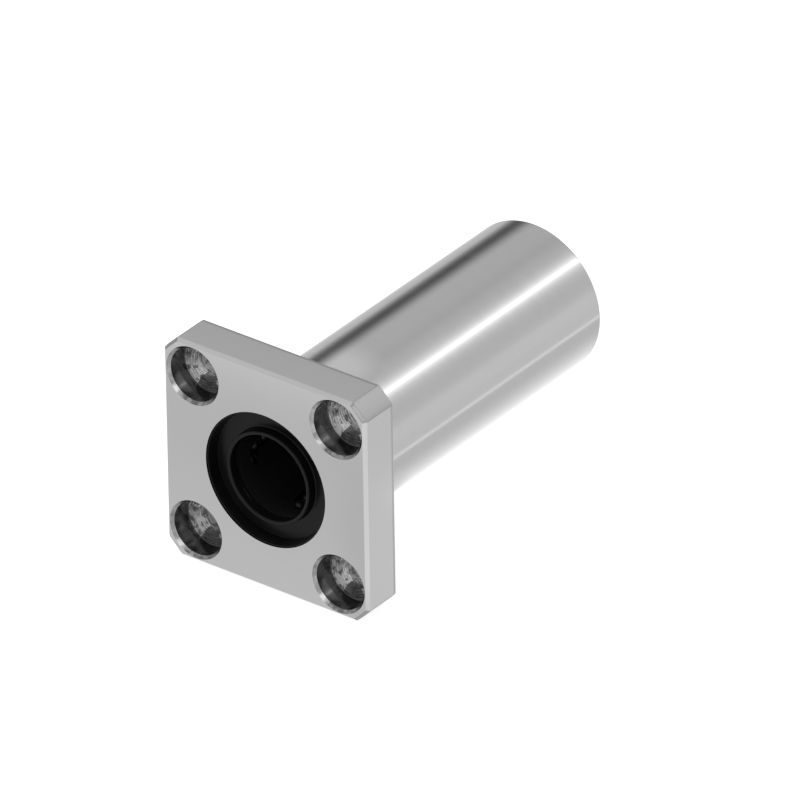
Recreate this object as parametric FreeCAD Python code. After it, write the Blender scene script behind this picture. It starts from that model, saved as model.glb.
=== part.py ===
import FreeCAD, Part
import math
import os

from FreeCAD import Vector

# Square-flanged linear ball bearing, long type, for a 12 mm shaft.
# All sizes are in millimetres. The bearing axis is +Y, from the flange to the free end.
# The origin is the centre of the flange's seating face, the one the sleeve stands out of.
# A station is a distance along the axis from the flange's front face.

# Flange. Its bolt circle, side and corner circle follow from the walls round the
# counterbores, and come to 32, 32 and 42.3.
flange_thickness = 6.0
flange_edge_chamfer = 0.45
bolt_hole_count = 4
bolt_hole_dia = 4.5
counterbore_dia = 7.5
counterbore_depth = 3.3
counterbore_mouth_chamfer = 0.4
counterbore_to_sleeve = 1.75
counterbore_to_side = 0.9363
counterbore_to_corner = 1.4

# Sleeve, ground in one piece with the flange. Its outside follows from the wall behind the
# grooves for the returning balls, and comes to 21.
sleeve_wall = 1.576
bearing_length = 57.0
sleeve_end_chamfer = 0.5
sleeve_end_wall = 1.05

# Shaft and balls
shaft_dia = 12.0
ball_dia = 1.984
ball_shaft_gap = 0.03
ball_land_gap = 0.03
circuit_count = 4
balls_per_turn = 3
turn_ball_gap = 0.04

# Resin ball retainers, two of them end to end
retainer_shaft_gap = 0.3
retainer_land_gap = 0.06
lane_clearance = 0.06
return_lane_floor = 0.5
retainer_end_wall = 0.75
nose_wall = 0.9
nose_seal_gap = 0.1

# Room for the balls that come back, cut inside the sleeve
return_groove_gap = 0.08
turn_relief_gap = 0.2
turn_relief_overlap = 0.3

# End seals
seal_recess = 0.15
seal_thickness = 2.15
seal_rim_width = 0.2
seal_rim_round = 0.1
seal_rim_lean = 0.45
seal_web = 0.6
seal_lip_width = 0.5
seal_lip_recess = 0.45
seal_lip_length = 0.7
seal_back_flare = 0.5

# Snap rings
ring_groove_inset = 0.5
ring_groove_depth = 0.75
ring_thickness = 0.8
ring_side_gap = 0.05
ring_seat_gap = 0.05
ring_nose_gap = 0.1
ring_opening = 2.5

# Radii and stations that follow
shaft_r = shaft_dia / 2
ball_r = ball_dia / 2
load_line_r = shaft_r + ball_shaft_gap + ball_r
land_r = load_line_r + ball_r + ball_land_gap
lane_r = ball_r + lane_clearance
retainer_bore_r = shaft_r + retainer_shaft_gap
retainer_r = land_r - retainer_land_gap
return_line_r = retainer_bore_r + return_lane_floor + lane_r
return_groove_r = ball_r + return_groove_gap
relief_r = return_line_r + return_groove_r
sleeve_r = relief_r + sleeve_wall
seat_r = sleeve_r - sleeve_end_wall
seat_depth = seal_recess + seal_thickness
ring_groove_start = seat_depth + ring_groove_inset
ring_groove_end = ring_groove_start + ring_thickness + 2 * ring_side_gap
nose_r = retainer_bore_r + nose_wall
nose_start = seat_depth + nose_seal_gap
retainer_start = ring_groove_end
middle = bearing_length / 2
counterbore_r = counterbore_dia / 2
bolt_circle_r = sleeve_r + counterbore_to_sleeve + counterbore_r
first_bolt_angle = math.pi / bolt_hole_count
bolt_to_side = counterbore_r + counterbore_to_side
flange_side = 2 * (bolt_circle_r * math.cos(first_bolt_angle) + bolt_to_side)
corner_r = bolt_circle_r + counterbore_r + counterbore_to_corner

# One circuit: a load lane, a return lane, and a half-circle turn at each end.
# The balls in a turn stand at equal angles, so their chord sets the turn's radius.
turn_step = math.pi / balls_per_turn
turn_r = (ball_dia + turn_ball_gap) / (2 * math.sin(turn_step / 2))
ball_pitch = turn_r * turn_step
lane_angle = math.acos(
    (load_line_r**2 + return_line_r**2 - (2 * turn_r) ** 2) / (2 * load_line_r * return_line_r)
)
room_for_straights = middle - retainer_start - 2 * (turn_r + lane_r + retainer_end_wall)
balls_per_row = math.floor(room_for_straights / ball_pitch)
straight_length = balls_per_row * ball_pitch
circuit_middle = (retainer_start + middle) / 2
straight_start = circuit_middle - straight_length / 2
straight_end = circuit_middle + straight_length / 2

AXIS = Vector(0, 1, 0)
CENTRE = Vector(0, 0, 0)
LOAD_POINT = Vector(load_line_r, 0, 0)
RETURN_POINT = Vector(return_line_r * math.cos(lane_angle), 0, return_line_r * math.sin(lane_angle))
TURN_POINT = (LOAD_POINT + RETURN_POINT) * 0.5
ACROSS = (RETURN_POINT - LOAD_POINT).normalize()
OUTWARD = AXIS.cross(ACROSS).normalize()


def along(station):
    """The vector from the origin to a station on the axis."""
    return AXIS * (station - flange_thickness)


def at(radius, station):
    """A point of a turned outline."""
    return Vector(radius, 0, 0) + along(station)


def disc(radius, start, stop):
    return Part.makeCylinder(radius, stop - start, along(start), AXIS)


def turned(steps):
    """Turns a closed outline about the axis. A step is a corner (radius, station), or an arc
    (radius, station, radius, station) through the first point to the second."""
    edges = []
    here = at(*steps[0])
    for step in steps[1:] + steps[:1]:
        end = at(*step[-2:])
        if len(step) == 4:
            edges.append(Part.Arc(here, at(*step[:2]), end).toShape())
        else:
            edges.append(Part.LineSegment(here, end).toShape())
        here = end
    return Part.Face(Part.Wire(edges)).revolve(CENTRE, AXIS, 360)


def round_the_axis(shape, turn):
    """A copy turned about the axis, from +X towards +Z."""
    copy = shape.copy()
    copy.rotate(CENTRE, AXIS, -math.degrees(turn))
    return copy


def end_for_end(shape):
    """A copy turned end for end about the radial line through a return lane at mid-length,
    so that the return lanes of both retainers share the sleeve's grooves."""
    copy = shape.copy()
    radial = Vector(math.cos(lane_angle), 0, math.sin(lane_angle))
    copy.rotate(along(middle), radial, 180)
    return copy


def evenly(count):
    return [2 * math.pi * index / count for index in range(count)]


def flange_blank():
    """A square plate whose corners are turned to the corner circle, chamfered all round."""
    corner = Vector(-flange_side / 2, -flange_thickness, -flange_side / 2)
    square = Part.makeBox(flange_side, flange_thickness, flange_side, corner)
    plate = square.common(disc(corner_r, 0, flange_thickness))
    rims = [edge for edge in plate.Edges if edge.BoundBox.YLength < flange_thickness / 2]
    return plate.makeChamfer(flange_edge_chamfer, rims)


def sleeve_blank():
    chamfer = sleeve_end_chamfer
    return turned([
        (0, flange_edge_chamfer),
        (sleeve_r, flange_edge_chamfer),
        (sleeve_r, bearing_length - chamfer),
        (sleeve_r - chamfer, bearing_length),
        (0, bearing_length),
    ])


def bolt_hole():
    """One counterbored hole with a chamfered mouth, at +X on the bolt circle."""
    place = Vector(bolt_circle_r, 0, 0)
    hole = disc(bolt_hole_dia / 2, 0, flange_thickness)
    head = disc(counterbore_r, 0, counterbore_depth)
    mouth = Part.makeCone(
        counterbore_r + counterbore_mouth_chamfer,
        counterbore_r,
        counterbore_mouth_chamfer,
        along(0),
        AXIS,
    )
    cutter = hole.fuse([head, mouth])
    cutter.translate(place)
    return cutter


def bolt_holes():
    return [round_the_axis(bolt_hole(), first_bolt_angle + turn) for turn in evenly(bolt_hole_count)]


def bore():
    """The ground land, the seal seats and ring grooves at both ends, and the reliefs where
    the balls turn round and come back."""
    turn_reach = turn_r + ball_r + turn_relief_gap
    front = [
        (seat_r, 0, seat_depth),
        (land_r + ring_groove_depth, ring_groove_start, ring_groove_end),
        (relief_r, straight_start - turn_reach, straight_start + turn_relief_overlap),
        (relief_r, straight_end - turn_relief_overlap, straight_end + turn_reach),
    ]
    rear = [(radius, bearing_length - stop, bearing_length - start) for radius, start, stop in front]
    cutters = [disc(radius, start, stop) for radius, start, stop in front + rear]
    groove = Part.makeCylinder(
        return_groove_r,
        bearing_length - 2 * (straight_start - turn_reach),
        RETURN_POINT + along(straight_start - turn_reach),
        AXIS,
    )
    cutters += [round_the_axis(groove, turn) for turn in evenly(circuit_count)]
    return disc(land_r, 0, bearing_length).fuse(cutters)


def flanged_sleeve():
    blank = flange_blank().fuse(sleeve_blank()).removeSplitter()
    return blank.cut([bore()] + bolt_holes())


def lane_section(point):
    """The open lane round one ball line: a half circle below it and straight sides outward."""
    reach = OUTWARD * retainer_r
    side = ACROSS * lane_r
    left = Part.LineSegment(point - side + reach, point - side).toShape()
    floor = Part.Arc(point - side, point - OUTWARD * lane_r, point + side).toShape()
    right = Part.LineSegment(point + side, point + side + reach).toShape()
    top = Part.LineSegment(point + side + reach, point - side + reach).toShape()
    return Part.Face(Part.Wire([left, floor, right, top]))


def lanes():
    """The closed loop that the balls of one circuit run in."""
    straight = AXIS * straight_length
    load = lane_section(LOAD_POINT + along(straight_start)).extrude(straight)
    back = lane_section(RETURN_POINT + along(straight_start)).extrude(straight)
    front_turn = lane_section(LOAD_POINT + along(straight_start)).revolve(
        TURN_POINT + along(straight_start), OUTWARD, -180
    )
    inner_turn = lane_section(LOAD_POINT + along(straight_end)).revolve(
        TURN_POINT + along(straight_end), OUTWARD, 180
    )
    return [load, back, front_turn, inner_turn]


def retainer():
    """A resin tube with a thinner nose that reaches through the snap ring to the seal."""
    body = turned([
        (retainer_bore_r, nose_start),
        (nose_r, nose_start),
        (nose_r, retainer_start),
        (retainer_r, retainer_start),
        (retainer_r, middle),
        (retainer_bore_r, middle),
    ])
    loop = lanes()
    cutters = [round_the_axis(lane, turn) for turn in evenly(circuit_count) for lane in loop]
    return body.cut(cutters)


def end_seal():
    """A rubber cup with a low rim and a thin rounded lip that wipes the shaft."""
    face = seal_recess
    rim_r = seat_r - seal_rim_width
    floor = seat_depth - seal_web
    lip_face = face + seal_lip_recess
    lip_r = shaft_r + seal_lip_width
    round_end = seal_rim_round
    soft = seal_lip_width / 2
    return turned([
        (seat_r, seat_depth),
        (seat_r, face + round_end),
        (seat_r - 0.3 * round_end, face + 0.3 * round_end, seat_r - round_end, face),
        (rim_r, face),
        (rim_r - seal_rim_lean, floor),
        (lip_r, floor),
        (lip_r, lip_face + soft),
        (lip_r - soft, lip_face, shaft_r, lip_face + soft),
        (shaft_r, lip_face + soft + seal_lip_length),
        (shaft_r + seal_back_flare, seat_depth),
    ])


def snap_ring():
    """A flat spring ring with one opening, sprung into the groove behind the seal."""
    outer_r = land_r + ring_groove_depth - ring_seat_gap
    start = ring_groove_start + ring_side_gap
    stop = start + ring_thickness
    ring = disc(outer_r, start, stop).cut(disc(nose_r + ring_nose_gap, start, stop))
    corner = along(start) - Vector(ring_opening / 2, 0, sleeve_r)
    opening = Part.makeBox(ring_opening, ring_thickness, sleeve_r, corner)
    return ring.cut(opening)


def ball(centre):
    return Part.makeSphere(ball_r, centre)


def row_of_balls(point):
    first = straight_start + ball_pitch / 2
    return [ball(point + along(first + index * ball_pitch)) for index in range(balls_per_row)]


def turn_of_balls(station, towards):
    """The balls of one turn; towards is -1 for the turn at the front and 1 for the inner one."""
    balls = []
    for index in range(balls_per_turn):
        angle = (index + 0.5) * turn_step
        sideways = ACROSS * (-turn_r * math.cos(angle))
        lengthways = AXIS * (towards * turn_r * math.sin(angle))
        balls.append(ball(TURN_POINT + along(station) + sideways + lengthways))
    return balls


def circuit():
    """The four groups of balls in one circuit, by the names of their lanes."""
    return {
        "load_balls": row_of_balls(LOAD_POINT),
        "return_balls": row_of_balls(RETURN_POINT),
        "outer_turn_balls": turn_of_balls(straight_start, -1),
        "inner_turn_balls": turn_of_balls(straight_end, 1),
    }


def ball_groups():
    """Every group of balls in both retainers."""
    groups = {}
    for number, turn in enumerate(evenly(circuit_count), 1):
        for name, balls in circuit().items():
            front = Part.makeCompound([round_the_axis(each, turn) for each in balls])
            groups[f"front_{name}_{number}"] = front
            groups[f"rear_{name}_{number}"] = end_for_end(front)
    return groups


def bearing():
    """Every piece by its name."""
    nodes = {"flanged_sleeve": flanged_sleeve()}
    end_pieces = {"retainer": retainer(), "end_seal": end_seal(), "snap_ring": snap_ring()}
    for name, shape in end_pieces.items():
        nodes[f"front_{name}"] = shape
        nodes[f"rear_{name}"] = end_for_end(shape)
    nodes.update(ball_groups())
    return nodes


os.makedirs("parts", exist_ok=True)
for node, shape in bearing().items():
    shape.exportStep(f"parts/{node}.step")
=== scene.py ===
import math

import bpy
from bpy.props import FloatProperty, FloatVectorProperty, IntProperty, PointerProperty
from bpy.types import Operator, Panel, PropertyGroup
from mathutils import Matrix, Vector


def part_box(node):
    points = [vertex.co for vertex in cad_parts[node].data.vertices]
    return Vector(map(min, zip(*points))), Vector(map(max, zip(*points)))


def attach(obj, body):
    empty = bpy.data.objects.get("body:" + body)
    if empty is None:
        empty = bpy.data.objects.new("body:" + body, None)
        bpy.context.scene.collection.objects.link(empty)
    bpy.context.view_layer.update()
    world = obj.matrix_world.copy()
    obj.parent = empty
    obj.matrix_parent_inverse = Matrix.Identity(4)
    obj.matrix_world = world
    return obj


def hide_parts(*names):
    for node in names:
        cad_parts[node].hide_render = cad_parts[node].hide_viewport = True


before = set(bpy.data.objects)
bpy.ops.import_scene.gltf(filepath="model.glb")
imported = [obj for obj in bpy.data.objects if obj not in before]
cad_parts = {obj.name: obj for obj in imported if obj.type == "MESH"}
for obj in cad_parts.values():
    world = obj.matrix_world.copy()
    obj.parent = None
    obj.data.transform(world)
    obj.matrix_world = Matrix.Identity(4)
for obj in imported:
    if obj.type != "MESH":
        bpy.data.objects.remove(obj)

bl_info = {
    "name": "Square-flanged linear bearing",
    "version": (1, 0, 0),
    "blender": (4, 5, 0),
    "location": "View3D > Sidebar > Bearing",
    "description": "Dresses the packed model of a square-flanged linear ball bearing",
    "category": "Object",
}

MM = 0.001
AROUND_Y = (math.pi / 2, 0, 0)
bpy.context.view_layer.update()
SLEEVE_LOW, SLEEVE_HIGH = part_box("flanged_sleeve")
SEAL_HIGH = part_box("front_end_seal")[1]
CIRCUITS = 4
BALL_NODES = [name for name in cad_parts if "balls" in name]


def length(name, description, default):
    return FloatProperty(
        name=name, description=description, default=default, unit="LENGTH", subtype="DISTANCE"
    )


def angle(name, description, degrees):
    return FloatProperty(
        name=name, description=description, default=math.radians(degrees), unit="ROTATION", subtype="ANGLE"
    )


def level(name, description, default):
    return FloatProperty(name=name, description=description, default=default, min=0)


def colour(name, description, default):
    return FloatVectorProperty(
        name=name, description=description, default=default, size=3, min=0, max=1, subtype="COLOR"
    )


class BearingSizes(PropertyGroup):
    """Sizes of the flanged sleeve and its seals."""

    flange_side: length("Flange side", "Side of the square flange", SLEEVE_HIGH.x - SLEEVE_LOW.x)
    flange_thickness: length("Flange thickness", "From the front face to the seating face", -SLEEVE_LOW.y)
    corner_radius: length("Corner circle", "Radius that the flange's corners are turned to", 21.15 * MM)
    edge_chamfer: length("Flange chamfer", "Chamfer round both faces of the flange", 0.45 * MM)
    edge_round: length("Edge round", "Small round where the flange's faces meet", 0.05 * MM)
    sleeve_radius: length("Sleeve radius", "Outside radius of the sleeve", 10.5 * MM)
    sleeve_end: length("Sleeve end", "Distance from the seating face to the free end", SLEEVE_HIGH.y)
    sleeve_chamfer: length("Sleeve chamfer", "Chamfer at the sleeve's free end", 0.5 * MM)
    hole_offset: length("Hole offset", "Each bolt hole's distance from both centre planes", 11.3137 * MM)
    hole_radius: length("Bolt hole radius", "Radius of the through hole", 2.25 * MM)
    head_radius: length("Counterbore radius", "Radius of the screw head's recess", 3.75 * MM)
    head_depth: length("Counterbore depth", "Depth of the screw head's recess", 3.3 * MM)
    mouth_chamfer: length("Mouth chamfer", "Chamfer round each recess", 0.4 * MM)
    tool_mark: length("Tool mark", "Height of the cutter's rings on a recess floor", 0.008 * MM)
    seal_radius: length("Seal radius", "Outside radius of an end seal", SEAL_HIGH.x)
    shaft_radius: length("Shaft radius", "Radius of the shaft that the seals wipe", 6.0 * MM)
    seat_depth: length("Seat depth", "Depth of a seal's seat from the bearing's end", 2.3 * MM)
    seal_recess: length("Seal recess", "Depth of a seal's rim below the bearing's end", 0.15 * MM)
    lip_recess: length("Lip recess", "Depth of a seal's lip below the bearing's end", 0.45 * MM)
    lip_width: length("Lip width", "Width of a seal's lip round the shaft", 0.54 * MM)
    land_radius: length("Land radius", "Radius of the lands that the balls run on", 8.044 * MM)
    ring_groove_radius: length("Ring groove radius", "Radius of a snap ring's groove", 8.794 * MM)
    ring_groove_start: length("Ring groove start", "From the bearing's end to the groove", 2.8 * MM)
    ring_groove_end: length("Ring groove end", "From the bearing's end to the groove's end", 3.7 * MM)
    relief_radius: length("Relief radius", "Radius of the reliefs for the ball turns", 8.924 * MM)
    relief_width: length("Relief width", "Length of each relief along the axis", 3.516 * MM)
    outer_relief: length("Outer relief", "From the bearing's end to the outer relief", 4.406 * MM)
    inner_relief: length("Inner relief", "From the bearing's end to the inner relief", 24.278 * MM)
    groove_radius: length("Groove radius", "Radius of a groove for returning balls", 1.072 * MM)
    groove_circle: length("Groove circle", "From the bearing's axis to each groove's axis", 7.852 * MM)
    groove_length: length("Groove length", "Length of each groove", 48.188 * MM)
    groove_angle: angle("Groove angle", "Turn of the first groove from +X", 30.946)


class BearingFinish(PropertyGroup):
    """Colours of the bearing's materials."""

    steel: colour("Bearing steel", "Ground and plated steel", (0.50, 0.50, 0.505))
    corner: colour("Turned corner", "The flange's turned corners", (0.32, 0.32, 0.323))
    recess_wall: colour("Recess wall", "Dark scale on the walls that aren't ground", (0.095, 0.095, 0.095))
    recess_floor: colour("Recess floor", "Cutter-marked floor of a recess", (0.55, 0.55, 0.55))
    rubber: colour("Seal rubber", "Black nitrile rubber", (0.004, 0.004, 0.004))
    resin: colour("Retainer resin", "Black moulded resin", (0.01, 0.01, 0.01))
    spring: colour("Spring steel", "Snap rings", (0.30, 0.30, 0.30))
    # Painted shade: the balls are coloured near-black so that they stay dark in the shaded bore.
    ball: colour("Ball steel", "Balls under a film of dark grease", (0.025, 0.025, 0.025))


class BearingStage(PropertyGroup):
    """Camera, floor and light."""

    azimuth: angle("Camera azimuth", "Turn of the camera from the flange's front towards +X", 37.597)
    elevation: angle("Camera elevation", "Height of the camera over the floor's plane", 30.789)
    roll: angle("Camera roll", "Turn of the picture about the line of sight", -0.989)
    distance: length("Camera distance", "From the front face's centre to the camera", 2.7876)
    aim_right: length("Aim right", "Shift of the aim to the right in the picture", 17.106 * MM)
    aim_up: length("Aim up", "Shift of the aim upwards in the picture", 9.793 * MM)
    lens: FloatProperty(name="Lens", description="Focal length on a 36 mm sensor", default=996.8)
    floor_size: length("Floor size", "Side of the floor", 6.0)
    overhead_power: FloatProperty(name="Overhead power", description="Power of the soft light", default=6.0)
    wall_level: level("Wall level", "Brightness of the pale walls", 0.815)
    front_level: level("Front level", "Brightness of the wall before the flange", 0.92)
    strip_level: level("Strip level", "Brightness of the strip light", 2.4)
    strip_angle: angle("Strip angle", "Height of the strip light round the axis", 49.5)
    strip_half: angle("Strip half width", "Half the strip light's full width", 1.5)
    strip_edge: angle("Strip edge", "Where the strip light's soft edge ends, from its middle", 4.0)
    strip_lift: level("Strip lift", "Brightness that the strip light adds to its own glow", 0.5)
    glow_level: level("Glow level", "Brightness that the strip light's glow adds at its middle", 1.62)
    glow_angle: angle("Glow angle", "Height of the glow's middle round the axis", 50.5)
    glow_reach: angle("Glow reach", "Angle over which the glow falls off", 6.5)
    corner_lift: level("Corner lift", "What the pale floor adds to the foot of the right wall", 0.18)
    corner_reach: angle("Corner reach", "Angle over which the corner's lift falls off", 8.0)
    flag_depth: level("Flag depth", "How much darker the flag is than the walls", 0.66)
    flag_angle: angle("Flag angle", "Height of the dark flag round the axis", 159.0)
    flag_half: angle("Flag half width", "Half the flag's full width", 1.5)
    flag_reach: angle("Flag reach", "Where the flag's soft edge ends, from its middle", 28.0)
    lamp_level: level("Lamp level", "Brightness of the small light behind the camera", 2.0)
    lamp_half: angle("Lamp half width", "Half the small light's full width", 3.0)
    lamp_edge: angle("Lamp edge", "Where the small light's soft edge ends, from its middle", 12.0)
    segments: IntProperty(name="Segments", description="Sides of each turned form", default=192)


# Modelling


def sizes():
    return bpy.context.scene.bearing_sizes


def finish():
    return bpy.context.scene.bearing_finish


def only(obj):
    """Leaves obj alone selected and active, in object mode."""
    if bpy.context.object and bpy.context.object.mode != "OBJECT":
        bpy.ops.object.mode_set(mode="OBJECT")
    bpy.ops.object.select_all(action="DESELECT")
    if obj:
        obj.select_set(True)
        bpy.context.view_layer.objects.active = obj


def named(name):
    """Names the primitive that was just added, and puts its place into its mesh."""
    obj = bpy.context.active_object
    only(obj)
    bpy.ops.object.transform_apply(location=True, rotation=True, scale=True)
    obj.name = name
    obj.data.name = name
    return obj


def select_edges(obj, wanted):
    """Selects, in edit mode, the edges whose two ends pass the test."""
    bpy.ops.object.mode_set(mode="EDIT")
    bpy.ops.mesh.select_mode(type="EDGE")
    bpy.ops.mesh.select_all(action="DESELECT")
    bpy.ops.object.mode_set(mode="OBJECT")
    corners = obj.data.vertices
    for edge in obj.data.edges:
        first, second = (corners[index].co for index in edge.vertices)
        edge.select = wanted(first, second)
    bpy.ops.object.mode_set(mode="EDIT")


def paint(obj, material, wanted):
    """Gives a material to the faces whose centre and normal pass the test."""
    obj.data.materials.append(material)
    index = len(obj.data.materials) - 1
    for face in obj.data.polygons:
        if wanted(face.center, face.normal):
            face.material_index = index


def close_up(obj):
    """Merges doubles and turns the faces outwards."""
    only(obj)
    bpy.ops.object.mode_set(mode="EDIT")
    bpy.ops.mesh.select_all(action="SELECT")
    bpy.ops.mesh.remove_doubles(threshold=1e-6)
    bpy.ops.mesh.normals_make_consistent(inside=False)
    bpy.ops.object.mode_set(mode="OBJECT")


def turned(name, outline, segments, centre=(0, 0), capped=False):
    """Turns an outline of (radius, y) about a line along Y: a ring is drawn at the first
    point, then extruded and scaled to each next one. The last ring meets the first, or both
    are filled."""
    only(None)
    radius, y = outline[0]
    x, z = centre
    bpy.ops.mesh.primitive_circle_add(
        vertices=segments, radius=radius, location=(x, y, z), rotation=AROUND_Y, fill_type="NOTHING"
    )
    obj = named(name)
    bpy.ops.object.mode_set(mode="EDIT")
    bpy.ops.mesh.select_all(action="SELECT")
    if capped:
        bpy.ops.mesh.edge_face_add()
    rest = outline[1:] if capped else outline[1:] + outline[:1]
    for next_radius, next_y in rest:
        bpy.ops.mesh.extrude_region_move(TRANSFORM_OT_translate={"value": (0, next_y - y, 0)})
        scale = next_radius / radius
        bpy.ops.transform.resize(value=(scale, 1, scale), center_override=(x, next_y, z))
        radius, y = next_radius, next_y
    close_up(obj)
    return obj


def rounded(outline, radius, steps=4):
    """The closed outline with each corner that is given a radius rounded; corners are
    (radius, y, round) or (radius, y)."""
    points = []
    count = len(outline)
    for index, corner in enumerate(outline):
        here = Vector(corner[:2])
        size = corner[2] if len(corner) > 2 else radius
        before = (Vector(outline[index - 1][:2]) - here).normalized()
        after = (Vector(outline[(index + 1) % count][:2]) - here).normalized()
        half = before.angle(after) / 2
        if size <= 0 or half > math.radians(89):
            points.append(tuple(here))
            continue
        centre = here + (before + after).normalized() * size / math.sin(half)
        first = here + before * size / math.tan(half) - centre
        last = here + after * size / math.tan(half) - centre
        sweep = first.angle_signed(last)
        for step in range(steps + 1):
            turn = sweep * step / steps
            cosine, sine = math.cos(turn), math.sin(turn)
            arm = Vector((first.x * cosine + first.y * sine, first.y * cosine - first.x * sine))
            points.append(tuple(centre + arm))
    return points


def combine(obj, tool, operation):
    """Adds a tool to the piece or cuts it away, and deletes the tool."""
    only(obj)
    modifier = obj.modifiers.new("combine", "BOOLEAN")
    modifier.object = tool
    modifier.operation = operation
    modifier.solver = "EXACT"
    bpy.ops.object.modifier_apply(modifier=modifier.name)
    bpy.data.objects.remove(tool)


def smooth(obj, degrees):
    only(obj)
    bpy.ops.object.shade_smooth_by_angle(angle=math.radians(degrees))


def flatten_faces(obj):
    """Shades broad faces flat and leaves the turn to the small edge rounds beside them."""
    only(obj)
    modifier = obj.modifiers.new("flat_faces", "WEIGHTED_NORMAL")
    modifier.keep_sharp = True
    bpy.ops.object.modifier_apply(modifier=modifier.name)


def end_for_end(obj, name):
    """A copy with its own mesh, mirrored to the other end of the bearing."""
    only(obj)
    bpy.ops.object.duplicate(linked=False)
    copy = named(name)
    size = sizes()
    middle = (size.sleeve_end - size.flange_thickness) / 2
    bpy.ops.object.mode_set(mode="EDIT")
    bpy.ops.mesh.select_all(action="SELECT")
    bpy.ops.transform.resize(value=(1, -1, 1), center_override=(0, middle, 0))
    bpy.ops.mesh.normals_make_consistent(inside=False)
    bpy.ops.object.mode_set(mode="OBJECT")
    return copy


# Materials


def material(name, base, roughness, metallic=0.0, specular=0.5):
    """A material with a Principled shader, and its tree and shader."""
    made = bpy.data.materials.new(name)
    made.use_nodes = True
    tree = made.node_tree
    shader = tree.nodes["Principled BSDF"]
    shader.inputs["Base Color"].default_value = (*base, 1)
    shader.inputs["Roughness"].default_value = roughness
    shader.inputs["Metallic"].default_value = metallic
    shader.inputs["Specular IOR Level"].default_value = specular
    return made, tree, shader


def node(tree, kind, values=None, **settings):
    made = tree.nodes.new("ShaderNode" + kind)
    for key, value in settings.items():
        setattr(made, key, value)
    for key, value in (values or {}).items():
        made.inputs[key].default_value = value
    return made


def object_place(tree, scale=(1, 1, 1)):
    """Object coordinates, stretched by a scale for each axis."""
    where = node(tree, "TexCoord")
    mapping = node(tree, "Mapping", {"Scale": scale})
    tree.links.new(where.outputs["Object"], mapping.inputs["Vector"])
    return mapping.outputs["Vector"]


def noise(tree, vector, scale, detail=3.0, rough=0.5):
    made = node(tree, "TexNoise", {"Scale": scale, "Detail": detail, "Roughness": rough})
    tree.links.new(vector, made.inputs["Vector"])
    return made.outputs["Fac"]


def spread(tree, value, low, high, start=0.3, stop=0.7):
    """Maps a value from start..stop to low..high, and keeps it between them."""
    made = node(tree, "MapRange", {"From Min": start, "From Max": stop, "To Min": low, "To Max": high})
    tree.links.new(value, made.inputs["Value"])
    return made.outputs["Result"]


def fade(tree, value, start, stop, low=0.0, high=1.0):
    """Passes smoothly from low at start to high at stop."""
    made = node(
        tree,
        "MapRange",
        {"From Min": start, "From Max": stop, "To Min": low, "To Max": high},
        interpolation_type="SMOOTHSTEP",
    )
    tree.links.new(value, made.inputs["Value"])
    return made.outputs["Result"]


def either(tree, share, first, second):
    """first where share is 0, second where it is 1."""
    made = node(tree, "Mix", data_type="FLOAT")
    for name, value in (("Factor", share), ("A", first), ("B", second)):
        if isinstance(value, (int, float)):
            made.inputs[name].default_value = value
        else:
            tree.links.new(value, made.inputs[name])
    return made.outputs["Result"]


def math_node(tree, operation, first, second=None):
    made = node(tree, "Math", operation=operation)
    for slot, value in enumerate((first, second)):
        if isinstance(value, (int, float)):
            made.inputs[slot].default_value = value
        elif value is not None:
            tree.links.new(value, made.inputs[slot])
    return made.outputs["Value"]


def added(tree, first, *others):
    """The sum of several values."""
    for other in others:
        first = math_node(tree, "ADD", first, other)
    return first


def object_axes(tree):
    """The three object coordinates."""
    where = node(tree, "TexCoord")
    split = node(tree, "SeparateXYZ")
    tree.links.new(where.outputs["Object"], split.inputs["Vector"])
    return [split.outputs[axis] for axis in "XYZ"]


def tint(tree, shader, value, base, low, high):
    """Varies the base colour's lightness between low and high of itself."""
    mix = node(tree, "Mix", data_type="RGBA")
    mix.inputs["A"].default_value = (*[part * low for part in base], 1)
    mix.inputs["B"].default_value = (*[min(1, part * high) for part in base], 1)
    tree.links.new(value, mix.inputs["Factor"])
    tree.links.new(mix.outputs["Result"], shader.inputs["Base Color"])


def bump(tree, shader, height, strength, distance):
    made = node(tree, "Bump", {"Strength": strength, "Distance": distance})
    tree.links.new(height, made.inputs["Height"])
    tree.links.new(made.outputs["Normal"], shader.inputs["Normal"])


def plate_steel(base, half):
    """Surface-ground steel: fine straight lay and cloudy variation in its roughness and tone, with painted
    shade: a darker colour on the round at the back rim of the plate."""
    made, tree, shader = material("plate_steel", base, 0.2, metallic=1)
    clouds = noise(tree, object_place(tree), 120)
    tree.links.new(spread(tree, clouds, 0.195, 0.215), shader.inputs["Roughness"])
    x, y, z = object_axes(tree)
    sides = [math_node(tree, "ABSOLUTE", place) for place in (x, z)]
    # Painted shade: the colour darkens on the round at the back rim, standing in for the dark reflection
    # there.
    out = fade(tree, math_node(tree, "MAXIMUM", *sides), half - 0.6 * MM, half - 0.35 * MM)
    back = fade(tree, y, -0.95 * MM, -0.35 * MM, 0, 0.95)
    rim = math_node(tree, "MULTIPLY", out, back)
    tone_and_rim_shade = math_node(tree, "SUBTRACT", spread(tree, clouds, 0.94, 1), rim)
    tint(tree, shader, tone_and_rim_shade, base, 0.68, 1.015)
    lay = noise(tree, object_place(tree, (300, 300, 9000)), 1)
    bump(tree, shader, lay, 0.12, 0.00001)
    return made


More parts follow.
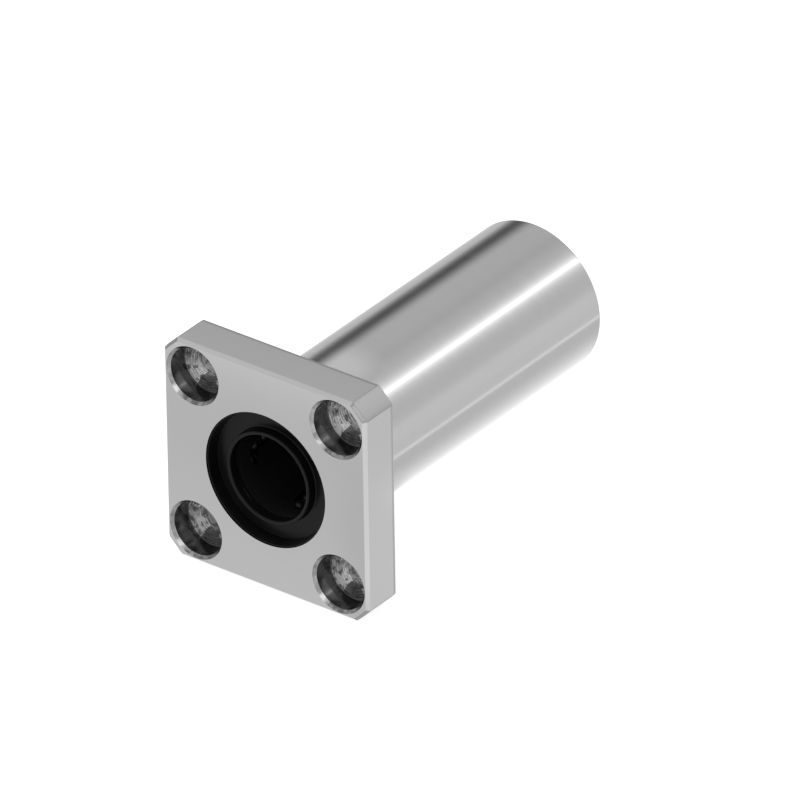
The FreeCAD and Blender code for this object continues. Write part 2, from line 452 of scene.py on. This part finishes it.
def sleeve_steel(base):
    """Centreless-ground steel: hair lines round the sleeve and a smooth, low-roughness finish, with a
    painted reflection: its colour is brightest on top beside the flange and darker further along."""
    made, tree, shader = material("sleeve_steel", base, 0.12, metallic=1)
    clouds = noise(tree, object_place(tree, (150, 700, 150)), 1)
    tree.links.new(spread(tree, clouds, 0.11, 0.15), shader.inputs["Roughness"])
    x, along, z = object_axes(tree)
    turn = math_node(tree, "DEGREES", math_node(tree, "ARCTAN2", z, x))
    # Painted reflection: the colour is lighter on top beside the flange and darker further along the
    # sleeve.
    top = math_node(tree, "MULTIPLY", fade(tree, turn, 60, 70), fade(tree, turn, 115, 95))
    near = fade(tree, along, 14.5 * MM, 9 * MM, 0, 0.8)
    far = fade(tree, along, 22 * MM, 50 * MM, -0.25, -0.29)
    tone_and_painted_reflection = math_node(tree, "MULTIPLY", math_node(tree, "ADD", near, far), top)
    tone_and_painted_reflection = math_node(tree, "ADD", spread(tree, clouds, 0.36, 0.42), tone_and_painted_reflection)
    tint(tree, shader, tone_and_painted_reflection, base, 0.88, 1.2)
    lines = noise(tree, object_place(tree, (60, 16000, 60)), 1, detail=2)
    bump(tree, shader, lines, 0.05, 0.000004)
    return made


def hole_place(tree, offset):
    """A point's place across and above the axis of its own bolt hole, and along it."""
    x, along, z = object_axes(tree)
    places = []
    for place in (x, z):
        hole = math_node(tree, "MULTIPLY", math_node(tree, "SIGN", place), offset)
        places.append(math_node(tree, "SUBTRACT", place, hole))
    return *places, along


def floor_steel(base, offset):
    """Recess floor and bolt hole: dull milled steel with rings left by the cutter, with painted light that
    makes it brightest low on the left and a wedge of painted shade at the bottom."""
    made, tree, shader = material("recess_floor_steel", base, 0.36, metallic=0.22)
    across, upward, along = hole_place(tree, offset)
    squares = [math_node(tree, "MULTIPLY", place, place) for place in (across, upward)]
    distance = math_node(tree, "SQRT", math_node(tree, "ADD", *squares))
    grain = noise(tree, object_place(tree), 2600, detail=2)
    wander = math_node(tree, "MULTIPLY", noise(tree, object_place(tree), 500), 0.9 * MM)
    step = added(tree, distance, along, wander)
    pitch = 0.42 * MM
    rings = math_node(tree, "SINE", math_node(tree, "MULTIPLY", step, 2 * math.pi / pitch))
    height = math_node(tree, "ADD", rings, math_node(tree, "MULTIPLY", grain, 5))
    bump(tree, shader, height, 1.0, 0.00002)
    dull = spread(tree, noise(tree, object_place(tree), 1300, detail=2), 0.08, 0.62, 0.4, 0.6)
    broken = spread(tree, noise(tree, object_place(tree), 900, detail=2), 0, 1, 0.46, 0.58)
    arcs = math_node(tree, "MULTIPLY", spread(tree, rings, 0.2, 1, -0.2, 0.8), broken)
    # Painted light: the colour brightens low on the left of each floor, for the light that the wall and
    # floor bounce back there.
    low_left = math_node(tree, "MULTIPLY", math_node(tree, "ADD", across, upward), -1)
    painted_light_low_left = fade(tree, math_node(tree, "DIVIDE", low_left, distance), 1.1, 1.4, 1.1, 2.8)
    # Painted shade: a darker wedge at the bottom of each floor.
    sideways = math_node(tree, "MULTIPLY", math_node(tree, "ABSOLUTE", across), 1.8)
    above_wedge = math_node(tree, "ADD", upward, sideways)
    with_painted_shade = fade(tree, above_wedge, -0.2 * MM, 0.25 * MM, 0.1, 1)
    shade = math_node(tree, "MULTIPLY", painted_light_low_left, with_painted_shade)
    deep = fade(tree, along, -1.9 * MM, -1.2 * MM)
    shade = either(tree, deep, shade, 0.6)
    milled = math_node(tree, "MAXIMUM", dull, arcs)
    tint(tree, shader, math_node(tree, "MULTIPLY", milled, shade), base, 0.1, 1.8)
    return made


def wall_steel(base):
    """Recess wall: dark scale with soft streaks along the hole."""
    made, tree, shader = material("recess_wall_steel", base, 0.16, metallic=1)
    streaks = noise(tree, object_place(tree, (2200, 120, 2200)), 1)
    tint(tree, shader, spread(tree, streaks, 0, 1), base, 0.82, 1.18)
    bump(tree, shader, streaks, 0.2, 0.00002)
    return made


def corner_steel(base):
    """Turned corners of the flange, duller than the ground faces."""
    made, tree, shader = material("corner_steel", base, 0.36, metallic=1)
    lines = noise(tree, object_place(tree, (200, 5000, 200)), 1)
    tint(tree, shader, spread(tree, lines, 0, 1), base, 0.97, 1.03)
    bump(tree, shader, lines, 0.1, 0.000005)
    return made


def mouth_steel(base, offset):
    """Chamfer of a recess: light, with chatter from the cutter, painted shade that darkens its left side,
    and blotches of painted shade at its foot.
    """
    made, tree, shader = material("recess_mouth_steel", base, 0.26, metallic=1)
    across, upward, along = hole_place(tree, offset)
    turn = math_node(tree, "DEGREES", math_node(tree, "ARCTAN2", upward, across))
    # Painted shade: blotches that darken the foot of each mouth, for the dark reflection there.
    patch = math_node(tree, "MULTIPLY", fade(tree, turn, -126, -112), fade(tree, turn, -48, -80))
    blots = spread(tree, noise(tree, object_place(tree), 1400), 0.3, 1.0, 0.4, 0.6)
    blotched_shade = math_node(tree, "MULTIPLY", patch, blots)
    chatter = noise(tree, object_place(tree), 1000, detail=1)
    bump(tree, shader, chatter, 1.0, 0.00006)
    # Painted shade: the colour darkens towards the left side of each mouth.
    film = fade(tree, math_node(tree, "ABSOLUTE", turn), 128, 152, 0, 0.3)
    chattered = spread(tree, chatter, 0.55, 1, 0.35, 0.6)
    painted_shade = math_node(tree, "ADD", blotched_shade, film)
    with_painted_shade = math_node(tree, "SUBTRACT", chattered, painted_shade)
    tint(tree, shader, with_painted_shade, base, 0.3, 0.86)
    return made


def seal_rubber(base):
    made, tree, shader = material("seal_rubber", base, 0.27, specular=0.15)
    grain = noise(tree, object_place(tree), 9000, detail=2)
    clouds = noise(tree, object_place(tree), 400)
    tree.links.new(spread(tree, clouds, 0.24, 0.32), shader.inputs["Roughness"])
    tint(tree, shader, spread(tree, clouds, 0, 1), base, 0.8, 1.25)
    bump(tree, shader, grain, 0.15, 0.00001)
    return made


def retainer_resin(base):
    made, tree, shader = material("retainer_resin", base, 0.38, specular=0.25)
    grain = noise(tree, object_place(tree), 3500)
    tree.links.new(spread(tree, grain, 0.34, 0.46), shader.inputs["Roughness"])
    tint(tree, shader, spread(tree, grain, 0, 1), base, 0.85, 1.2)
    bump(tree, shader, grain, 0.2, 0.00002)
    return made


def spring_steel(base):
    made, tree, shader = material("spring_steel", base, 0.35, metallic=1)
    clouds = noise(tree, object_place(tree), 1500)
    tree.links.new(spread(tree, clouds, 0.3, 0.42), shader.inputs["Roughness"])
    tint(tree, shader, spread(tree, clouds, 0, 1), base, 0.8, 1.2)
    return made


def ball_steel(base):
    # Painted shade: the balls are coloured near-black so that they stay dark in the shaded bore.
    made, tree, shader = material("ball_steel", base, 0.45, metallic=1)
    clouds = noise(tree, object_place(tree), 2500)
    tree.links.new(spread(tree, clouds, 0.4, 0.5), shader.inputs["Roughness"])
    tint(tree, shader, spread(tree, clouds, 0, 1), base, 0.8, 1.2)
    return made


# Pieces


def flange_plate(size):
    """A square block whose corners are bevelled to the corner circle, its front rim
    chamfered, its back rim rounded and its other edges lightly broken."""
    half = size.flange_side / 2
    thickness = size.flange_thickness
    only(None)
    bpy.ops.mesh.primitive_cube_add(
        size=1, location=(0, -thickness / 2, 0), scale=(2 * half, thickness, 2 * half)
    )
    plate = named("flanged_sleeve_body")
    tiny = 1e-6
    inner = math.sqrt(size.corner_radius**2 - half**2)
    cut = half - inner
    bulge = (size.corner_radius * math.sqrt(0.5) - inner) / cut

    def upright(first, second):
        return abs(first.y - second.y) > thickness - tiny

    def front_rim(first, second):
        return max(first.y, second.y) < tiny - thickness

    def back_rim(first, second):
        return min(first.y, second.y) > -tiny

    select_edges(plate, upright)
    bpy.ops.mesh.bevel(offset=cut, segments=8, profile=bulge**2, affect="EDGES")
    for rim, segments in ((front_rim, 1), (back_rim, 3)):
        select_edges(plate, rim)
        bpy.ops.mesh.bevel(offset=size.edge_chamfer, segments=segments, affect="EDGES")
    bpy.ops.mesh.select_all(action="DESELECT")
    bpy.ops.mesh.edges_select_sharp(sharpness=math.radians(30))
    bpy.ops.mesh.bevel(offset=size.edge_round, segments=2, affect="EDGES")
    bpy.ops.object.mode_set(mode="OBJECT")
    return plate


def sleeve_bar(size, segments):
    """The sleeve as a thick tube, chamfered at its free end, with the chamfer's edges
    rounded."""
    start = size.edge_chamfer - size.flange_thickness
    inside = size.sleeve_radius / 2
    corners = [
        (inside, start, 0),
        (size.sleeve_radius, start, 0),
        (size.sleeve_radius, size.sleeve_end - size.sleeve_chamfer, 0.5 * MM),
        (size.sleeve_radius - size.sleeve_chamfer, size.sleeve_end, 0.15 * MM),
        (inside, size.sleeve_end, 0),
    ]
    return turned("sleeve_bar", rounded(corners, 0), segments)


def bore_tool(size, segments):
    """What is bored out of the sleeve: seal seats, ring grooves, land and ball reliefs."""
    front = -size.flange_thickness
    land = size.land_radius
    steps = [(size.seal_radius, -1.0 * MM), (size.seal_radius, size.seat_depth), (land, size.seat_depth)]
    for radius, start, stop in (
        (size.ring_groove_radius, size.ring_groove_start, size.ring_groove_end),
        (size.relief_radius, size.outer_relief, size.outer_relief + size.relief_width),
        (size.relief_radius, size.inner_relief, size.inner_relief + size.relief_width),
    ):
        steps += [(land, start), (radius, start), (radius, stop), (land, stop)]
    whole = size.sleeve_end + size.flange_thickness
    steps += [(radius, whole - station) for radius, station in reversed(steps)]
    outline = [(radius, front + station) for radius, station in steps]
    return turned("bore_tool", outline, segments, capped=True)


def groove_tool(size, index):
    """The groove that the balls of one circuit come back in."""
    turn = size.groove_angle + 2 * math.pi * index / CIRCUITS
    middle = (size.sleeve_end - size.flange_thickness) / 2
    place = (size.groove_circle * math.cos(turn), middle, size.groove_circle * math.sin(turn))
    only(None)
    bpy.ops.mesh.primitive_cylinder_add(
        vertices=32, radius=size.groove_radius, depth=size.groove_length, location=place, rotation=AROUND_Y
    )
    return named("groove_tool")


def recess_tool(size, centre):
    """A stepped cutter for one bolt hole: through hole, marked floor, wall and mouth."""
    front = -size.flange_thickness
    floor = front + size.head_depth
    rings = 4
    past = 0.5 * MM
    outline = [
        (size.head_radius + size.mouth_chamfer + past, front - past),
        (size.head_radius, front + size.mouth_chamfer),
        (size.head_radius, floor),
    ]
    for ring in range(2 * rings):
        share = (ring + 0.5) / (2 * rings)
        radius = size.head_radius + (size.hole_radius - size.head_radius) * share
        outline.append((radius, floor + (size.tool_mark if ring % 2 else -size.tool_mark)))
    outline += [(size.hole_radius, floor), (size.hole_radius, past)]
    return turned("recess_tool", outline, 96, centre, capped=True)


class BEARING_OT_flanged_sleeve(Operator):
    """Flange and sleeve in one piece, with its bore and counterbored holes"""

    bl_idname = "bearing.flanged_sleeve"
    bl_label = "Flanged sleeve"

    def execute(self, context):
        size = sizes()
        look = finish()
        segments = context.scene.bearing_stage.segments
        body = flange_plate(size)
        combine(body, sleeve_bar(size, segments), "UNION")
        combine(body, bore_tool(size, segments), "DIFFERENCE")
        for index in range(CIRCUITS):
            combine(body, groove_tool(size, index), "DIFFERENCE")
        offset = size.hole_offset
        for centre in ((offset, offset), (-offset, offset), (-offset, -offset), (offset, -offset)):
            combine(body, recess_tool(size, centre), "DIFFERENCE")
        close_up(body)

        def from_hole(point):
            return math.hypot(abs(point.x) - offset, abs(point.z) - offset)

        def on_sleeve(point, normal):
            beside = abs(math.hypot(point.x, point.z) - size.sleeve_radius)
            return beside < 0.6 * MM and point.y > 0.01 * MM

        def on_corner(point, normal):
            turned_off = math.hypot(point.x, point.z) > size.corner_radius - size.edge_chamfer
            return turned_off and abs(normal.y) < 0.9

        def on_wall(point, normal):
            return abs(from_hole(point) - size.head_radius) < 0.05 * MM and abs(normal.y) < 0.3

        def on_seat(point, normal):
            beside = abs(math.hypot(point.x, point.z) - size.seal_radius)
            return beside < 0.05 * MM and abs(normal.y) < 0.3

        def on_floor(point, normal):
            front = -size.flange_thickness
            inside = front + 2 * size.mouth_chamfer < point.y < -0.01 * MM
            return from_hole(point) < size.head_radius - 0.05 * MM and inside

        def on_mouth(point, normal):
            distance = from_hole(point)
            near = size.head_radius - 0.1 * MM < distance < size.head_radius + size.mouth_chamfer
            return near and 0.3 < abs(normal.y) < 0.95

        body.data.materials.clear()
        paint(body, plate_steel(look.steel, size.flange_side / 2), lambda point, normal: True)
        paint(body, sleeve_steel(look.steel), on_sleeve)
        paint(body, corner_steel(look.corner), on_corner)
        paint(body, wall_steel(look.recess_wall), lambda *place: on_wall(*place) or on_seat(*place))
        paint(body, floor_steel(look.recess_floor, offset), on_floor)
        paint(body, mouth_steel(look.steel, offset), on_mouth)
        smooth(body, 25)
        flatten_faces(body)
        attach(body, "housing")
        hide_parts("flanged_sleeve")
        return {"FINISHED"}


class BEARING_OT_end_seals(Operator):
    """Rubber seals with a low rim, a sunken floor and a thin rounded lip, one at each end"""

    bl_idname = "bearing.end_seals"
    bl_label = "End seals"

    def execute(self, context):
        size = sizes()
        outer = size.seal_radius
        rim = size.seal_recess
        back = size.seat_depth
        shaft = size.shaft_radius
        lip = shaft + size.lip_width
        lip_top = size.lip_recess
        web = 1.85 * MM
        lip_foot = 1.55 * MM
        corners = [
            (outer, back, 0.05 * MM),
            (outer, rim, 0.1 * MM),
            (outer - 0.2 * MM, rim, 0.1 * MM),
            (outer - 0.5 * MM, web, 0.04 * MM),
            (lip, web + 0.02 * MM, 0.2 * MM),
            (lip, lip_top, 0.24 * MM),
            (shaft, lip_top, 0.24 * MM),
            (shaft, lip_foot, 0.1 * MM),
            (shaft + 0.5 * MM, back, 0.05 * MM),
        ]
        front = -size.flange_thickness
        outline = [(radius, front + station) for radius, station in rounded(corners, 0, 5)]
        seal = turned("front_seal_ring", outline, context.scene.bearing_stage.segments)
        seal.data.materials.append(seal_rubber(finish().rubber))
        smooth(seal, 40)
        other = end_for_end(seal, "rear_seal_ring")
        for piece, end in ((seal, "front"), (other, "rear")):
            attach(piece, "housing")
            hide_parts(end + "_end_seal")
        return {"FINISHED"}


def finish_nodes(names, made, degrees):
    """Gives CAD nodes their finish, and smooths their shading."""
    for name in names:
        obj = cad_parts[name]
        obj.data.materials.clear()
        obj.data.materials.append(made)
        smooth(obj, degrees)


class BEARING_OT_retainers(Operator):
    """Finish of the two resin ball retainers"""

    bl_idname = "bearing.retainers"
    bl_label = "Retainers"

    def execute(self, context):
        finish_nodes(["front_retainer", "rear_retainer"], retainer_resin(finish().resin), 30)
        return {"FINISHED"}


class BEARING_OT_snap_rings(Operator):
    """Finish of the two snap rings"""

    bl_idname = "bearing.snap_rings"
    bl_label = "Snap rings"

    def execute(self, context):
        finish_nodes(["front_snap_ring", "rear_snap_ring"], spring_steel(finish().spring), 30)
        return {"FINISHED"}


class BEARING_OT_balls(Operator):
    """Finish of the balls in their circuits"""

    bl_idname = "bearing.balls"
    bl_label = "Balls"

    def execute(self, context):
        finish_nodes(BALL_NODES, ball_steel(finish().ball), 60)
        return {"FINISHED"}


def camera(stage):
    """The photograph's camera: far away on a long lens, aimed beside the flange."""
    back = Vector((
        math.sin(stage.azimuth) * math.cos(stage.elevation),
        -math.cos(stage.azimuth) * math.cos(stage.elevation),
        math.sin(stage.elevation),
    ))
    right = Vector((math.cos(stage.azimuth), math.sin(stage.azimuth), 0))
    up = back.cross(right)
    turn = stage.roll
    across = right * math.cos(turn) + up * math.sin(turn)
    upward = up * math.cos(turn) - right * math.sin(turn)
    front = Vector((0, -sizes().flange_thickness, 0))
    place = front + back * stage.distance + right * stage.aim_right + up * stage.aim_up
    only(None)
    bpy.ops.object.camera_add(location=place)
    made = bpy.context.active_object
    made.name = "photo_camera"
    made.matrix_world = Matrix((
        (across.x, upward.x, back.x, place.x),
        (across.y, upward.y, back.y, place.y),
        (across.z, upward.z, back.z, place.z),
        (0, 0, 0, 1),
    ))
    made.data.sensor_width = 36
    made.data.lens = stage.lens
    made.data.clip_start = 0.1
    made.data.clip_end = 20
    bpy.context.scene.camera = made


def seen_directly(tree):
    """1 for rays from the camera, and 1 for rays from a mirror or glass."""
    path = node(tree, "LightPath")
    seen_in = [path.outputs["Is " + kind + " Ray"] for kind in ("Glossy", "Transmission")]
    return path.outputs["Is Camera Ray"], math_node(tree, "MAXIMUM", *seen_in)


def painted_light_before_flange(tree, across, along):
    """Painted light and shade that polished steel sees on the floor in front of the flange: a bright far
    edge, a lift on the right and a dim lane that runs back from the flange."""
    floor_level = fade(tree, along, -41 * MM, -5 * MM, 0.89, 0.98)
    far_edge = fade(tree, along, -43.5 * MM, -48.5 * MM, 0, 0.235)
    right = fade(tree, across, 12 * MM, 24 * MM)
    lift = math_node(tree, "MULTIPLY", right, fade(tree, along, 0, -12 * MM, 0.04, 0.31))
    slope = 0.77
    lane = math_node(tree, "SUBTRACT", across, math_node(tree, "MULTIPLY", along, slope))
    inside = (fade(tree, lane, 14 * MM, 19.8 * MM), fade(tree, lane, 22.5 * MM, 20.2 * MM))
    dim = either(tree, math_node(tree, "MULTIPLY", *inside), 1.0, 0.9)
    dim = either(tree, fade(tree, along, -7 * MM, -5.5 * MM), dim, 1.0)
    return math_node(tree, "MULTIPLY", added(tree, floor_level, far_edge, lift), dim)


def painted_light_beside_sleeve(tree, across):
    """Painted light and shade that polished steel sees on the floor along the sleeve: brightest below it,
    dim far left, dimmer right beside it, and a thin painted light line further right."""
    far_left = spread(tree, across, 0.74, 1.0, -67 * MM, -30 * MM)
    left = spread(tree, across, 0, 0.27, -30 * MM, -5 * MM)
    # Painted shadow: dimmer to the right beside the sleeve.
    right = fade(tree, across, 3 * MM, 21 * MM, 0, -0.4)
    lift_beyond_line = fade(tree, across, 31 * MM, 35 * MM, 0, 0.09)
    far_right = fade(tree, across, 50 * MM, 80 * MM, 0, 0.04)
    # Painted light: a thin bright line on the right.
    from_light_line = math_node(tree, "ABSOLUTE", math_node(tree, "SUBTRACT", across, 31.5 * MM))
    light_line = fade(tree, from_light_line, 2.7 * MM, 1.3 * MM, 0, 0.4)
    return added(tree, far_left, left, right, lift_beyond_line, far_right, light_line)


def floor(stage):
    """A pale floor under the flange. The camera sees it white with a faint shadow; polished steel sees
    painted light and shade on it, bright below the sleeve and dimmer far left."""
    only(None)
    bpy.ops.mesh.primitive_plane_add(size=stage.floor_size, location=(0, 0, SLEEVE_LOW.z - 0.02 * MM))
    plane = named("floor")
    made, tree, shader = material("pale_floor", (0.5, 0.5, 0.5), 0.9, specular=0.0)
    across, along = object_axes(tree)[:2]
    before = painted_light_before_flange(tree, across, along)
    beside = painted_light_beside_sleeve(tree, across)
    seen = either(tree, fade(tree, along, 18 * MM, 23 * MM), before, beside)
    direct, mirrored = seen_directly(tree)
    glow = node(tree, "Emission")
    tree.links.new(seen, glow.inputs["Strength"])
    shader.inputs["Emission Color"].default_value = (1, 1, 1, 1)
    tree.links.new(math_node(tree, "MULTIPLY", direct, 0.8), shader.inputs["Emission Strength"])
    mix = node(tree, "MixShader")
    tree.links.new(mirrored, mix.inputs["Fac"])
    tree.links.new(shader.outputs["BSDF"], mix.inputs[1])
    tree.links.new(glow.outputs["Emission"], mix.inputs[2])
    tree.links.new(mix.outputs["Shader"], tree.nodes["Material Output"].inputs["Surface"])
    plane.data.materials.append(made)


def walls_round_the_axis(tree, turn, stage):
    """Brightness of the studio's walls: pale, lighter by the floor on the right and a little
    dim overhead, with a strip light in its glow and a dark flag."""

    def angle_from(place):
        return math_node(tree, "ABSOLUTE", math_node(tree, "SUBTRACT", turn, place))

    def falling(from_middle, reach, height):
        share = math_node(tree, "EXPONENT", math_node(tree, "DIVIDE", from_middle, -reach))
        return math_node(tree, "MULTIPLY", share, height)

    corner = falling(math_node(tree, "MAXIMUM", turn, 0.0), stage.corner_reach, stage.corner_lift)
    overhead = fade(tree, angle_from(math.radians(85)), math.radians(25), math.radians(6), 0, -0.046)
    flag = fade(
        tree, angle_from(stage.flag_angle), stage.flag_reach, stage.flag_half, 0, -stage.flag_depth
    )
    glow = falling(angle_from(stage.glow_angle), stage.glow_reach, stage.glow_level)
    strip = fade(
        tree, angle_from(stage.strip_angle), stage.strip_edge, stage.strip_half, 0, stage.strip_lift
    )
    walls = added(tree, corner, overhead, flag, glow, strip, stage.wall_level)
    return math_node(tree, "MINIMUM", walls, stage.strip_level)


def studio(stage):
    """Studio walls round the bearing's axis, and one small soft light behind the camera. The
    camera sees them all white."""
    world = bpy.data.worlds.new("studio")
    bpy.context.scene.world = world
    world.use_nodes = True
    tree = world.node_tree
    background = tree.nodes["Background"]
    where = node(tree, "TexCoord")
    split = node(tree, "SeparateXYZ")
    tree.links.new(where.outputs["Generated"], split.inputs["Vector"])
    turn = math_node(tree, "ARCTAN2", split.outputs["Z"], split.outputs["X"])
    walls = walls_round_the_axis(tree, turn, stage)
    walls = either(tree, fade(tree, split.outputs["Y"], -0.05, -0.35), walls, stage.front_level)
    towards_lamp = node(tree, "VectorMath", operation="DOT_PRODUCT")
    towards_lamp.inputs[1].default_value = Vector((0.47, -0.72, 0.51)).normalized()
    tree.links.new(where.outputs["Generated"], towards_lamp.inputs[0])
    facing = towards_lamp.outputs["Value"]
    lamp = fade(tree, facing, math.cos(stage.lamp_edge), math.cos(stage.lamp_half), 0, stage.lamp_level)
    seen = math_node(tree, "ADD", walls, lamp)
    direct, mirrored = seen_directly(tree)
    strength = either(tree, direct, either(tree, mirrored, 0.8, seen), 1.0)
    tree.links.new(strength, background.inputs["Strength"])
    background.inputs["Color"].default_value = (1, 1, 1, 1)


def soft_light(stage):
    """A large soft light overhead, which the metal doesn't mirror."""
    only(None)
    bpy.ops.object.light_add(type="AREA", location=(-0.3, -0.2, 1.2))
    lamp = bpy.context.active_object
    lamp.name = "overhead_softbox"
    lamp.data.shape = "DISK"
    lamp.data.size = 0.8
    lamp.data.energy = stage.overhead_power
    lamp.rotation_euler = (Vector((0, 0.02, 0)) - lamp.location).to_track_quat("-Z", "Y").to_euler()
    lamp.visible_camera = False
    lamp.visible_glossy = False


class BEARING_OT_stage(Operator):
    """Camera, pale floor, studio walls and soft light"""

    bl_idname = "bearing.stage"
    bl_label = "Stage"

    def execute(self, context):
        stage = context.scene.bearing_stage
        camera(stage)
        floor(stage)
        studio(stage)
        soft_light(stage)
        context.scene.view_settings.view_transform = "Standard"
        return {"FINISHED"}


OPERATORS = (
    BEARING_OT_stage,
    BEARING_OT_flanged_sleeve,
    BEARING_OT_end_seals,
    BEARING_OT_retainers,
    BEARING_OT_snap_rings,
    BEARING_OT_balls,
)


class BEARING_PT_panel(Panel):
    """Lists the bearing's pieces and stage"""

    bl_idname = "BEARING_PT_panel"
    bl_label = "Linear bearing"
    bl_space_type = "VIEW_3D"
    bl_region_type = "UI"
    bl_category = "Bearing"

    def draw(self, context):
        for operator in OPERATORS:
            self.layout.operator(operator.bl_idname)
        for group in ("bearing_sizes", "bearing_finish", "bearing_stage"):
            box = self.layout.box()
            settings = getattr(context.scene, group)
            for name in settings.__annotations__:
                box.prop(settings, name)


CLASSES = (BearingSizes, BearingFinish, BearingStage, *OPERATORS, BEARING_PT_panel)


def register():
    for each in CLASSES:
        bpy.utils.register_class(each)
    bpy.types.Scene.bearing_sizes = PointerProperty(type=BearingSizes)
    bpy.types.Scene.bearing_finish = PointerProperty(type=BearingFinish)
    bpy.types.Scene.bearing_stage = PointerProperty(type=BearingStage)


def unregister():
    del bpy.types.Scene.bearing_stage
    del bpy.types.Scene.bearing_finish
    del bpy.types.Scene.bearing_sizes
    for each in reversed(CLASSES):
        bpy.utils.unregister_class(each)


def main():
    register()
    bpy.ops.bearing.stage()
    bpy.ops.bearing.flanged_sleeve()
    bpy.ops.bearing.end_seals()
    bpy.ops.bearing.retainers()
    bpy.ops.bearing.snap_rings()
    bpy.ops.bearing.balls()


if __name__ == "__main__":
    main()
